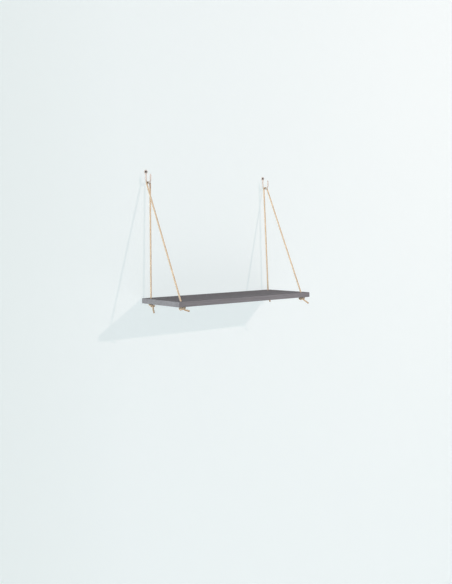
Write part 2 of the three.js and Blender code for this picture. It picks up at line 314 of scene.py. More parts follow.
def hair_tufts(roots: Array, headings: Array, bends: Array, lengths: Array, radius: float) -> Surface:
    """Many short fibres as one surface: three-sided tubes that taper to a point.

    At the share s of its length, a fibre's middle line is root + heading·length·s + bend·s², and its radius
    has fallen by taper·s².

    Args:
        roots: Where each fibre leaves the rope.
        headings: Its direction there, of length one.
        bends: How far it has strayed sideways at its tip, as a vector.
        lengths: Its length.
        radius: Radius at the root.

    Returns:
        The surface of all fibres.
    """
    stations, sides, taper = 5, 3, 0.97
    s = np.linspace(0, 1, stations)[None, :, None]
    middle = roots[:, None] + headings[:, None] * lengths[:, None, None] * s + bends[:, None] * s**2
    side = unit(np.cross(headings, bends) + NEVER_ZERO)
    upper = np.cross(headings, side)
    thin = radius * (1 - taper * s**2)
    angles = np.arange(sides) * TURN / sides
    corners = [middle + thin * (math.cos(a) * side[:, None] + math.sin(a) * upper[:, None]) for a in angles]
    points = np.stack(corners, axis=2).reshape(-1, 3)
    numbers = np.arange(len(points)).reshape(-1, stations, sides)
    ends = np.vstack([numbers[:, 0, ::-1], numbers[:, -1]])
    return Surface(points, ring_quads(numbers[:, :-1, 0].ravel(), sides), ends)


# Shader building


@dataclass(frozen=True)
class Streaks:
    """How a finish sets the shared streaks: lines per metre along each axis, and the noise behind them."""

    lines: Point
    roughness: float
    contrast: float


@dataclass(frozen=True)
class Mottle:
    """How a finish sets the shared mottle: patches and speckles per metre, and its two tones."""

    patches: float
    speckles: float
    low: Colour
    high: Colour


class Pattern(Enum):
    """The two patterns of the mottle, as its group names them."""

    PATCH = "Patch"
    SPECKLE = "Speckle"


class NodeBench:
    """Adds nodes to one tree, set and linked in a single call."""

    def __init__(self, tree: bpy.types.NodeTree, effects: SharedEffects | None = None) -> None:
        """Empties the tree and keeps it, with the node groups that it may use."""
        self.tree, self.effects = tree, effects
        tree.nodes.clear()

    def add(self, kind: str, inputs: dict[str | int, Any] | None = None, **settings: Any) -> bpy.types.Node:
        """Adds one node.

        Args:
            kind: Blender's name of the node type.
            inputs: Socket name or number to a value, or to the socket that feeds it. Colours are opaque.
            **settings: The node's own settings, such as operation.

        Returns:
            The node.
        """
        node = self.tree.nodes.new(kind)
        for key, value in settings.items():
            setattr(node, key, value)
        for key, value in (inputs or {}).items():
            socket = node.inputs[key]
            if isinstance(value, Socket):
                self.tree.links.new(value, socket)
            else:
                socket.default_value = (*value, 1.0) if socket.type == "RGBA" else value
        return node

    def effect(self, place: Socket, how: Streaks | Mottle) -> Outputs:
        """The outputs of a shared effect at a place, with the values of one finish."""
        inputs = dict(enumerate((place, *astuple(how))))
        return self.add("ShaderNodeGroup", inputs, node_tree=self.effects.trees[type(how)]).outputs

    def place(self) -> Socket:
        """Object coordinates."""
        return self.add("ShaderNodeTexCoord").outputs["Object"]

    def attribute(self, word: str, output: str) -> Socket:
        """One of the mesh's named values."""
        return self.add("ShaderNodeAttribute", attribute_name=word).outputs[output]

    def axes(self, vector: Socket) -> Outputs:
        """The vector's separate X, Y and Z."""
        return self.add("ShaderNodeSeparateXYZ", {0: vector}).outputs

    def stretched(self, vector: Socket, factors: Feed) -> Socket:
        """The vector multiplied axis by axis."""
        return self.add("ShaderNodeVectorMath", {0: vector, 1: factors}, operation="MULTIPLY").outputs[0]

    def noise(self, place: Socket, scale: Feed, detail: float, roughness: Feed) -> Socket:
        """Noise from 0 to 1, by its scale, levels of detail and roughness."""
        inputs = {"Vector": place, "Scale": scale, "Detail": detail, "Roughness": roughness}
        return self.add("ShaderNodeTexNoise", inputs).outputs["Fac"]

    def sum_up(self, operation: str, *values: Feed, **settings: Any) -> Socket:
        """The output of a Math node on the given values or sockets."""
        return self.add("ShaderNodeMath", dict(enumerate(values)), operation=operation, **settings).outputs[0]

    def plus(self, *values: Feed) -> Socket:
        """The sum of the values or sockets."""
        return reduce(lambda total, value: self.sum_up("ADD", total, value), values)

    def minus(self, whole: Feed, taken: Feed) -> Socket:
        """What is left of a value or socket."""
        return self.sum_up("SUBTRACT", whole, taken)

    def times(self, one: Feed, other: Feed) -> Socket:
        """The product of two values or sockets."""
        return self.sum_up("MULTIPLY", one, other)

    def far(self, one: Socket, other: Socket) -> Socket:
        """The distance with these parts along two axes: the root of the sum of their squares."""
        return self.sum_up("SQRT", self.plus(self.times(one, one), self.times(other, other)))

    def spread(self, value: Feed, source: Span, to_low: float, to_high: float) -> Socket:
        """The value carried from one span to another, clamped at both ends."""
        inputs = {0: value, 1: source[0], 2: source[1], 3: to_low, 4: to_high}
        return self.add("ShaderNodeMapRange", inputs).outputs[0]

    def falling(self, level: Feed, reach: float, most: float) -> Socket:
        """The most where the level is nothing, falling in a straight line to nothing at its reach."""
        return self.spread(level, (0.0, reach), most, 0.0)

    def mixed(self, share: Feed, low: Feed, high: Feed) -> Socket:
        """The colour between low and high by a share from 0 to 1, on the Mix node's colour sockets."""
        return self.add("ShaderNodeMix", {0: share, 6: low, 7: high}, data_type="RGBA").outputs[2]

    def bump(self, height: Socket, relief: Span) -> Socket:
        """The normal of a surface with this height, by the relief's strength and depth."""
        inputs = {"Strength": relief[0], "Distance": relief[1], "Height": height}
        return self.add("ShaderNodeBump", inputs).outputs[0]

    def principled(self, inputs: dict[str, Any]) -> Socket:
        """The surface of a Principled BSDF."""
        return self.add("ShaderNodeBsdfPrincipled", inputs).outputs[0]

    def seen_rays(self) -> Socket:
        """One for camera rays and for those reflected or let through on their way, nothing for the rest.

        Returns:
            The value.
        """
        path = self.add("ShaderNodeLightPath").outputs
        sent_on = self.sum_up("MAXIMUM", path["Is Glossy Ray"], path["Is Transmission Ray"])
        return self.sum_up("MAXIMUM", path["Is Camera Ray"], sent_on)


class SharedEffects:
    """The node groups that several finishes use, each built once.

    The fine streaks are closer than the broad ones by FINER. Speckle adds SPECKLE_SHARE of its value to the
    patches, and their sum takes the tone from low to high over TONE_SPAN.
    """

    FINER = 3.7
    SPECKLE_SHARE = 0.25
    TONE_SPAN = (0.35, 0.9)

    def __init__(self) -> None:
        """Builds both groups, each kept under the class of its values."""
        self.trees = {Streaks: self._streaks(), Mottle: self._mottle()}

    @staticmethod
    def _tree(
        name: str, inputs: dict[str, str], outputs: dict[str, str]
    ) -> tuple[bpy.types.NodeTree, NodeBench, Outputs]:
        """An empty group with its named sockets.

        Args:
            name: The group's name.
            inputs: The kind of each input: the place, then one for each of the finish's values.
            outputs: The kind of each output.

        Returns:
            The tree, its bench and the sockets of its input node.
        """
        tree = bpy.data.node_groups.new(name, "ShaderNodeTree")
        for way, sockets in (("INPUT", inputs), ("OUTPUT", outputs)):
            for word, kind in sockets.items():
                tree.interface.new_socket(word, in_out=way, socket_type=f"NodeSocket{kind}")
        bench = NodeBench(tree)
        return tree, bench, bench.add("NodeGroupInput").outputs

    def _streaks(self) -> bpy.types.NodeTree:
        """Fine lines drawn out along one direction: wood grain under paint, or the yarns and hairs of a rope.

        The mask is broad noise with its contrast raised about one half.

        Returns:
            The group.
        """
        tree, bench, source = self._tree(
            "drawn_out_streaks",
            {"Place": "Vector", "Lines per metre": "Vector", "Roughness": "Float", "Contrast": "Float"},
            {"Mask": "Float", "Fine": "Float"},
        )
        place = bench.stretched(source["Place"], source["Lines per metre"])
        closer = bench.stretched(place, (self.FINER,) * 3)
        broad = bench.noise(place, 1.0, detail=3.0, roughness=source["Roughness"])
        fine = bench.noise(closer, 1.0, detail=2.0, roughness=0.5)
        contrasty = bench.times(bench.minus(broad, 0.5), source["Contrast"])
        mask = bench.sum_up("ADD", contrasty, 0.5, use_clamp=True)
        bench.add("NodeGroupOutput", {"Mask": mask, "Fine": fine})
        return tree

    def _mottle(self) -> bpy.types.NodeTree:
        """Soft uneven patches with fine speckle, as brushed paint, moulded plastic and hand-worn fibre show.

        Returns:
            The group.
        """
        per_metre = {"Patches per metre": "Float", "Speckles per metre": "Float"}
        tree, bench, source = self._tree(
            "soft_mottle",
            {"Place": "Vector", **per_metre, "Low": "Color", "High": "Color"},
            {"Color": "Color", "Patch": "Float", "Speckle": "Float"},
        )
        patch = bench.noise(source["Place"], source["Patches per metre"], detail=4.0, roughness=0.55)
        speckle = bench.noise(source["Place"], source["Speckles per metre"], detail=2.0, roughness=0.6)
        both = bench.plus(patch, bench.times(speckle, self.SPECKLE_SHARE))
        colour = bench.mixed(bench.spread(both, self.TONE_SPAN, 0.0, 1.0), source["Low"], source["High"])
        bench.add("NodeGroupOutput", {"Color": colour, "Patch": patch, "Speckle": speckle})
        return tree


# Finishes


class Finish(ABC):
    """One material of the shelf.

    Rough is the span of its roughness, and relief its bump's strength and depth. A share says how far a
    pattern takes the colour to another tone, and a rise how much the pattern adds to the relief's height.
    """

    name: str

    @abstractmethod
    def dress(self, bench: NodeBench) -> Socket:
        """Adds the finish's nodes.

        Args:
            bench: The material's bench.

        Returns:
            The surface.
        """

    def material(self, effects: SharedEffects) -> bpy.types.Material:
        """Makes the material.

        Args:
            effects: The shared node groups.

        Returns:
            The finished material.
        """
        made = bpy.data.materials.new(self.name)
        made.use_nodes = True
        bench = NodeBench(made.node_tree, effects)
        bench.add("ShaderNodeOutputMaterial", {"Surface": self.dress(bench)})
        return made


@dataclass(frozen=True)
class PaintedWood(Finish):
    """Matt anthracite paint on a planed board, with the grain faintly raised, the edges lighter from wear and
    a painted highlight, and the ends painted lighter as painted light.

    The board is cut above the pith of its log, so its growth rings are arcs on the ends and flames on top.
    """

    name: str = "painted_wood"
    low: Point = (-0.25, -0.2, -0.3932)
    high: Point = (0.25, 0.0, -0.3782)
    paint: Mottle = Mottle(24.0, 1400.0, (0.202, 0.212, 0.230), (0.220, 0.231, 0.249))
    # Lighter tone of the end faces: painted light.
    end_painted_light: Colour = (0.268, 0.268, 0.281)
    end_skin: Span = (0.0003, 0.0008)
    streak: Colour = (0.115, 0.115, 0.12)
    bands: Streaks = Streaks((2.2, 62.0, 62.0), 0.5, 2.6)
    grain: Streaks = Streaks((9.0, 330.0, 330.0), 0.62, 2.2)
    band_share: float = 0.38
    grain_share: float = 0.3
    ring_shares: Span = (0.22, 0.32)
    grain_rise: float = 0.8
    ring_rise: float = 0.7
    fine_rise: float = 0.35
    speckle_rise: float = 0.3
    # Lighter tone along the edges: wear, and a painted highlight.
    wear_and_painted_light: Colour = (0.34, 0.335, 0.345)
    edge_wear_and_highlight_reach: float = 0.0011
    edge_wear_and_highlight_patches: Span = (0.42, 0.62)
    edge_wear_and_highlight_share: float = 0.75
    pith_y: float = -0.083
    pith_z: float = -0.452
    ring_width: float = 0.0036
    ring_wander: float = 0.016
    wander_lines: Point = (2.6, 9.0, 9.0)
    relief: Span = (0.55, 0.0003)
    rough: Span = (0.78, 0.92)

    def dress(self, bench: NodeBench) -> Socket:
        """Bands, grain and growth rings along X under mottled paint, with painted light on the ends and wear
        with a painted highlight along the edges.

        Args:
            bench: The material's bench.

        Returns:
            The surface.
        """
        place = bench.place()
        axes = bench.axes(place)
        bands, grain = bench.effect(place, self.bands), bench.effect(place, self.grain)
        mottle = bench.effect(place, self.paint)
        late_wood = self._late_wood(bench, place, axes)
        to_end = bench.minus(self.high[0], bench.sum_up("ABSOLUTE", axes["X"]))
        # The ends are painted lighter than the faces: painted light on the end faces.
        on_end = bench.spread(to_end, self.end_skin, 1.0, 0.0)
        tone = bench.mixed(on_end, mottle["Color"], self.end_painted_light)
        for share in (
            bench.falling(bands["Mask"], 1.0, self.band_share),
            bench.falling(grain["Mask"], 1.0, self.grain_share),
            bench.times(late_wood, bench.spread(on_end, (0.0, 1.0), *self.ring_shares)),
        ):
            tone = bench.mixed(share, tone, self.streak)
        # The edges are lightened: wear, and a painted highlight along the arris.
        near_edge = bench.falling(self._to_edge(bench, axes, to_end), self.edge_wear_and_highlight_reach, 1.0)
        patchy = bench.spread(mottle["Patch"], self.edge_wear_and_highlight_patches, 0.0, self.edge_wear_and_highlight_share)
        wear_and_painted_light = bench.times(near_edge, bench.times(patchy, grain["Mask"]))
        height = bench.plus(
            bench.times(grain["Mask"], self.grain_rise),
            bench.times(late_wood, self.ring_rise),
            bench.times(grain["Fine"], self.fine_rise),
            bench.times(mottle["Speckle"], self.speckle_rise),
        )
        return bench.principled(
            {
                "Base Color": bench.mixed(wear_and_painted_light, tone, self.wear_and_painted_light),
                "Roughness": bench.spread(mottle["Speckle"], NOISE_SPAN, *self.rough),
                "Specular IOR Level": 0.0,
                "Normal": bench.bump(height, self.relief),
            }
        )

    def _to_edge(self, bench: NodeBench, axes: Outputs, to_end: Socket) -> Socket:
        """The second smallest of the distances to the ends, long edges and faces, small only near an edge.

        Args:
            bench: The material's bench.
            axes: The place's separate X, Y and Z.
            to_end: Distance to the nearer end.

        Returns:
            The distance.
        """
        to_long_edge, to_face = (
            bench.sum_up("MINIMUM", bench.minus(axes[k], self.low[k]), bench.minus(self.high[k], axes[k]))
            for k in (1, 2)
        )
        smaller = bench.sum_up("MINIMUM", to_end, to_long_edge)
        larger = bench.sum_up("MAXIMUM", to_end, to_long_edge)
        return bench.sum_up("MINIMUM", bench.sum_up("MAXIMUM", smaller, to_face), larger)

    def _late_wood(self, bench: NodeBench, place: Socket, axes: Outputs) -> Socket:
        """How far into the dark part of its growth ring a point lies.

        A ring's number is the distance from the pith, plus a slow wander along the board, over the ring
        width, and the dark part rises with the cube of what follows the whole number.

        Args:
            bench: The material's bench.
            place: Object coordinates.
            axes: Their separate X, Y and Z.

        Returns:
            A value from 0, early wood, to 1, the end of the ring.
        """
        from_pith = bench.far(bench.minus(axes["Y"], self.pith_y), bench.minus(axes["Z"], self.pith_z))
        noise = bench.noise(bench.stretched(place, self.wander_lines), 1.0, detail=3.0, roughness=0.45)
        wander = bench.times(bench.minus(noise, 0.5), self.ring_wander)
        ring = bench.sum_up("DIVIDE", bench.plus(from_pith, wander), self.ring_width)
        return bench.sum_up("POWER", bench.sum_up("FRACT", ring), 3.0)


@dataclass(frozen=True)
class LaidRopeFibre(Finish):
    """Unbleached plant fibre, three strands of spun yarn: pale crests, drawn-out hairs, and painted shade
    darkening the grooves.
    """

    name: str = "laid_rope_fibre"
    fibre: Mottle = Mottle(45.0, 2200.0, (0.66, 0.515, 0.355), (0.86, 0.72, 0.53))
    # Dark brown for the hair streaks, and for painted shade in the grooves.
    streak_and_painted_shade: Colour = (0.20, 0.14, 0.09)
    hairs: Streaks = Streaks((2600.0, 2600.0, 160.0), 0.6, 2.4)
    hair_share: float = 0.38
    hair_rise: float = 0.5
    fine_rise: float = 0.25
    yarns: float = 18.0
    yarn_wander: float = 0.9
    wander_lines: float = 260.0
    yarn_groove: float = 0.55
    yarn_share: float = 0.45
    yarn_rise: float = 0.8
    strand_groove: float = 0.6
    strand_share: float = 0.85
    # Brown for painted shade at the hook and under the board, with grime.
    painted_shade_and_grime: Colour = (0.29, 0.18, 0.095)
    painted_shade_and_grime_shares: Span = (0.55, 0.95)
    relief: Span = (0.8, 0.00022)

    def dress(self, bench: NodeBench) -> Socket:
        """Yarn ridges nearly in line with the rope, hair streaks on them, and painted shade down between the
        yarns and the strands.

        Args:
            bench: The material's bench.

        Returns:
            The surface.
        """
        lie = bench.attribute("straight_lie", "Vector")
        lay_map = bench.axes(bench.add("ShaderNodeUVMap", uv_map="lay_map").outputs[0])
        mottle, hairs = bench.effect(lie, self.fibre), bench.effect(lie, self.hairs)
        noise = bench.noise(lie, self.wander_lines, detail=2.0, roughness=0.5)
        wander = bench.times(noise, self.yarn_wander)
        phase = bench.plus(bench.times(bench.plus(lay_map[0], lay_map[1]), self.yarns), wander)
        ridge = bench.sum_up("ABSOLUTE", bench.sum_up("SINE", bench.times(phase, math.pi)))
        tone = mottle["Color"]
        # The hair streaks darken the fibre's own tone; the yarn and strand grooves are darkened as painted
        # shade.
        for share in (
            bench.falling(hairs["Mask"], 1.0, self.hair_share),
            bench.falling(ridge, self.yarn_groove, self.yarn_share),
            bench.falling(bench.attribute("crest_share", "Fac"), self.strand_groove, self.strand_share),
        ):
            tone = bench.mixed(share, tone, self.streak_and_painted_shade)
        # Darker brown at the hook and the tails: painted shade, with grime.
        patchy = bench.spread(mottle["Patch"], NOISE_SPAN, *self.painted_shade_and_grime_shares)
        painted_shade_and_grime = bench.times(bench.attribute("handling", "Fac"), patchy)
        height = bench.plus(
            bench.times(ridge, self.yarn_rise),
            bench.times(hairs["Mask"], self.hair_rise),
            bench.times(hairs["Fine"], self.fine_rise),
        )
        return bench.principled(
            {
                "Base Color": bench.mixed(painted_shade_and_grime, tone, self.painted_shade_and_grime),
                "Roughness": 0.9,
                "Specular IOR Level": 0.2,
                "Sheen Weight": 0.25,
                "Sheen Roughness": 0.5,
                "Normal": bench.bump(height, self.relief),
            }
        )


@dataclass(frozen=True)
class MottledFinish(Finish):
    """A finish whose tone is mottled, and whose roughness and relief follow one of the mottle's patterns.

    Marks take the pattern's place in the relief. Even holds what is the same all over the surface.
    """

    name: str
    tones: Mottle
    pattern: Pattern
    rough: Span
    even: tuple[tuple[str, float], ...]
    relief: Span | None = None
    marks: Streaks | None = None

    def dress(self, bench: NodeBench) -> Socket:
        """Tone, roughness and relief from the mottle and the marks, then wear and painted shade.

        Args:
            bench: The material's bench.

        Returns:
            The surface.
        """
        place = bench.place()
        mottle = bench.effect(place, self.tones)
        pattern = mottle[self.pattern.value]
        inputs = {"Base Color": mottle["Color"], **dict(self.even)}
        inputs["Roughness"] = bench.spread(pattern, NOISE_SPAN, *self.rough)
        if self.relief:
            height = bench.effect(place, self.marks)["Mask"] if self.marks else pattern
            inputs["Normal"] = bench.bump(height, self.relief)
        return bench.principled({**inputs, **self.wear_and_painted_shade(bench, place, mottle, inputs["Roughness"])})

    def wear_and_painted_shade(self, bench: NodeBench, place: Socket, mottle: Outputs, rough: Socket) -> dict[str, Socket]:
        """What wear and painted shade change of the surface's inputs: nothing, unless the finish says so."""
        return {}


@dataclass(frozen=True)
class LooseFibre(MottledFinish):
    """The single hairs that stand off the rope, each with the tone of the place where it grows."""

    name: str = "loose_fibre"
    tones: Mottle = Mottle(300.0, 2600.0, (0.62, 0.49, 0.34), (0.85, 0.73, 0.56))
    pattern: Pattern = Pattern.SPECKLE
    rough: Span = (0.7, 0.9)
    even: tuple[tuple[str, float], ...] = (("Specular IOR Level", 0.3), ("Sheen Weight", 0.2))


@dataclass(frozen=True)
class BlackenedSteel(MottledFinish):
    """Phosphated screw steel: near black, with turning marks across the screw's axis and a sheen from
    rubbing.
    """

    name: str = "blackened_steel"
    tones: Mottle = Mottle(420.0, 3600.0, (0.035, 0.032, 0.03), (0.075, 0.07, 0.064))
    pattern: Pattern = Pattern.PATCH
    rough: Span = (0.38, 0.55)
    even: tuple[tuple[str, float], ...] = (("Metallic", 0.35),)
    relief: Span = (0.2, 0.0001)
    marks: Streaks = Streaks((300.0, 5200.0, 300.0), 0.5, 1.6)


@dataclass(frozen=True)
class GreyNylon(MottledFinish):
    """Moulded grey nylon with a faint matt texture."""

    name: str = "grey_nylon"
    tones: Mottle = Mottle(160.0, 2600.0, (0.33, 0.35, 0.37), (0.37, 0.39, 0.41))
    pattern: Pattern = Pattern.SPECKLE
    rough: Span = (0.45, 0.6)
    even: tuple[tuple[str, float], ...] = (("Specular IOR Level", 0.4),)
    relief: Span = (0.15, 0.0001)


@dataclass(frozen=True)
class CreamEnamel(MottledFinish):
    """Cream-white lacquer on bent strip, a little orange-peeled, darker brown at the bottom of the bend where
    the rope bears: wear, and painted shade under the rope.
    """

    name: str = "cream_enamel"
    tones: Mottle = Mottle(130.0, 1500.0, (0.53, 0.51, 0.475), (0.58, 0.56, 0.525))
    pattern: Pattern = Pattern.PATCH
    rough: Span = (0.4, 0.5)
    even: tuple[tuple[str, float], ...] = (
        ("Specular IOR Level", 0.35),
        ("Coat Weight", 0.1),
        ("Coat Roughness", 0.25),
    )
    relief: Span = (0.12, 0.0002)
    arm_y: float = -0.0142
    arm_z: float = -0.034
    bearing_reach: Span = (0.001, 0.0055)
    bearing_share: float = 0.7
    bearing_speckles: Span = (0.35, 0.65)
    least_speckled: float = 0.3
    # Darker brown under the rope: wear, and painted shade.
    wear_and_painted_light: Colour = (0.42, 0.375, 0.31)
    rubbed_rough: float = 0.3

    def wear_and_painted_shade(self, bench: NodeBench, place: Socket, mottle: Outputs, rough: Socket) -> dict[str, Socket]:
        """Darkens a patch at the bottom of the hook's bend, where the rope lies: wear, and painted shade
        under the rope.

        Args:
            bench: The material's bench.
            place: Object coordinates.
            mottle: The mottle's outputs.
            rough: The roughness without wear.

        Returns:
            The colour and roughness with the patch.
        """
        axes = bench.axes(place)
        away = bench.far(bench.minus(axes["Z"], self.arm_z), bench.minus(axes["Y"], self.arm_y))
        speckled = bench.spread(mottle["Speckle"], self.bearing_speckles, self.least_speckled, 1.0)
        # The patch is darker brown: wear, and painted shade where the rope lies on the arm.
        bearing = bench.times(bench.spread(away, self.bearing_reach, self.bearing_share, 0.0), speckled)
        rougher = bench.plus(rough, bench.times(bearing, self.rubbed_rough))
        return {"Base Color": bench.mixed(bearing, mottle["Color"], self.wear_and_painted_light), "Roughness": rougher}


@dataclass(frozen=True)
class PalePlaster(Finish):
    """The wall or floor of the studio, seen only from its front.

    Part of its tone is its own, seen by the camera and in reflections only, so that the dark board doesn't
    cloud it. The rest is lit, and keeps the shadows.
    """

    name: str
    left: Colour
    right: Colour
    painted_light_fade_x: Span = (-0.9, -0.3)
    own_share: float = 0.62
    own_strength: float = 1.3

    def dress(self, bench: NodeBench) -> Socket:
        """A matt tone that brightens along X as painted light, see-through from behind so that the back of
        the shelf shows.

        Args:
            bench: The material's bench.

        Returns:
            The surface.
        """
        along = bench.axes(bench.place())["X"]
        # The brightening along X is painted light.
        tone = bench.mixed(bench.spread(along, self.painted_light_fade_x, 0.0, 1.0), self.left, self.right)
        matt = bench.add("ShaderNodeBsdfDiffuse", {"Color": tone}).outputs[0]
        own = bench.add("ShaderNodeEmission", {"Color": tone, "Strength": self.own_strength}).outputs[0]
        share = bench.times(bench.seen_rays(), self.own_share)
        front = bench.add("ShaderNodeMixShader", {0: share, 1: matt, 2: own}).outputs[0]
        gone = bench.add("ShaderNodeBsdfTransparent").outputs[0]
        behind = bench.add("ShaderNodeNewGeometry").outputs["Backfacing"]
        return bench.add("ShaderNodeMixShader", {0: behind, 1: front, 2: gone}).outputs[0]


# Ropes


@dataclass(frozen=True)
class TailLie:
    """How one knot and its tail lie under the board, with angles in degrees and the reach in metres.

    The heading turns both about the hole, the tilt leans the knot, the drop is the tail's angle below level
    and the reach is how far it goes on past its first steps.
    """

    heading: float
    tilt: float
    drop: float
    reach: float


@dataclass(frozen=True)
class RopeRoute:
    """The middle line of one rope, as in the solids: tail, knot, strand, bight, strand, knot and tail."""

    side: Side
    tails: dict[Depth, TailLie]
    hole_x: float = 0.230
    board_top: float = -0.3782
    board_bottom: float = -0.3932
    arm_y: float = -0.0142
    bight_z: float = -0.0322
    diameter: float = 0.005
    bend_radius: float = 0.004
    bend_points: int = 25
    bight_straight: float = 0.0025
    seat_gap: float = 0.0003
    points_per_span: int = 24
    ring_step: float = 0.0006
    steps_per_ring: int = 3
    easing: int = 4

    HOLE_Y = {Depth.FRONT: -0.180, Depth.BACK: -0.020}

    # In rope diameters: how far the tail comes down out of its knot, on in that bend, and then straight.
    TAIL_STEPS = (0.45, 0.3, 0.9)

    # Half of the knot in rope diameters, x across, y inward, z up, from its lower end to its middle.
    HALF_KNOT = (
        (0.0, 1.03, 0.0),
        (-0.64, 1.01, -0.1),
        (-1.2, 0.72, -0.3),
        (-1.47, 0.2, -0.52),
        (-1.37, -0.4, -0.78),
        (-0.92, -0.85, -0.9),
        (-0.33, -1.02, -0.8),
        (0.22, -0.9, -0.5),
        (0.53, -0.5, -0.15),
        (0.45, -0.04, 0.32),
        (0.45, 0.2, 0.9),
    )

    def hole(self, depth: Depth) -> Array:
        """The middle of a hole in the board's top face."""
        return np.array([self.side.value * self.hole_x, self.HOLE_Y[depth], self.board_top])

    def strand(self, depth: Depth) -> Array:
        """The line from the middle of the bight, along the hook's arm, round a bend and down to a hole.

        With u along the arm and v down towards the hole, the bend is u = straight + R·sin(a),
        v = R·(1 − cos(a)), with a from 0 to a right angle plus the lean of the straight run.

        Args:
            depth: Front or back hole.

        Returns:
            The line's points, bight first.
        """
        bight = np.array([self.side.value * self.hole_x, self.arm_y, self.bight_z])
        foot = self.hole(depth)
        outward = self.side.value if depth is Depth.FRONT else -self.side.value
        down = (foot - bight)[1:]
        drop = np.linalg.norm(down)
        straight, radius = self.bight_straight, self.bend_radius
        under = drop - radius
        lean = math.asin(radius / math.hypot(straight, under)) + math.atan2(straight, under)
        angle = np.linspace(0, 1, self.bend_points) * (TURN / 4 + lean)
        u = np.concatenate([[0.0], straight + radius * np.sin(angle)])
        v = np.concatenate([[0.0], radius * (1 - np.cos(angle))])
        return np.vstack([bight + np.outer(u, (outward, 0.0, 0.0)) + np.outer(v, (0.0, *down / drop)), foot])

    def knotted_end(self, depth: Depth) -> Array:
        """The line from the board's underside through the overhand knot to the end of the tail.

        The knot's second half is its first turned half round about y.

        Args:
            depth: Front or back hole.

        Returns:
            The line's points, board first.
        """
        lie = self.tails[depth]
        half = np.array(self.HALF_KNOT)
        upright = np.vstack([half[::-1], half[1:] * (-1.0, 1.0, -1.0)])
        heading, tilt, drop = (math.radians(a) for a in (lie.heading, lie.tilt, lie.drop))
        away = np.array([-math.cos(drop + tilt), 0.0, -math.sin(drop + tilt)])
        step_down, step_on, step_straight = self.TAIL_STEPS
        turn_start = upright[-1] - (0.0, 0.0, step_down) + step_on * away
        turn_end = turn_start + step_straight * away
        tail_end = turn_end + lie.reach / self.diameter * away
        knot = turned(np.vstack([upright, turn_start, turn_end, tail_end]), (0.0, 1.0, 0.0), tilt)
        standing, turns = knot[0], knot[1:]
        knot_z = self.board_bottom - self.seat_gap - (turns[:, 2].max() + 0.5) * self.diameter
        x, y = self.hole(depth)[:2]
        under = np.stack([standing[0] - turns[:, 0], standing[1] - turns[:, 1], turns[:, 2]], axis=1)
        placed = turned(under * self.diameter, (0.0, 0.0, 1.0), heading) + (x, y, knot_z)
        return curve_through(np.vstack([(x, y, self.board_bottom), placed]), self.points_per_span)

    def half(self, depth: Depth) -> Array:
        """The line from the middle of the bight to one tail's end."""
        return np.vstack([self.strand(depth), self.knotted_end(depth)])

    def whole(self) -> Array:
        """The line from the front tail's end to the back tail's end.

        Returns:
            Its points, evenly spaced, with the corners eased.
        """
        joined = np.vstack([self.half(Depth.FRONT)[::-1], self.half(Depth.BACK)[1:]])
        fine = evenly_spaced(joined, self.ring_step / self.steps_per_ring)
        return evenly_spaced(eased(fine, self.easing), self.ring_step)

    def from_middle(self, walked: Array) -> Array:
        """Distance from the middle of the bight, for distances from the front tail's end."""
        front, back = (lengths_along(self.half(depth))[-1] for depth in Depth)
        return np.abs(walked - (walked[-1] + front - back) / 2)


@dataclass(frozen=True)
class Fade:
    """A share that is at its most for a first stretch and falls to nothing over the next."""

    whole: float
    over: float
    most: float

    def at(self, away: Array) -> Array:
        """The share at each distance."""
        return self.most * np.clip(1 - (away - self.whole) / self.over, 0, 1)


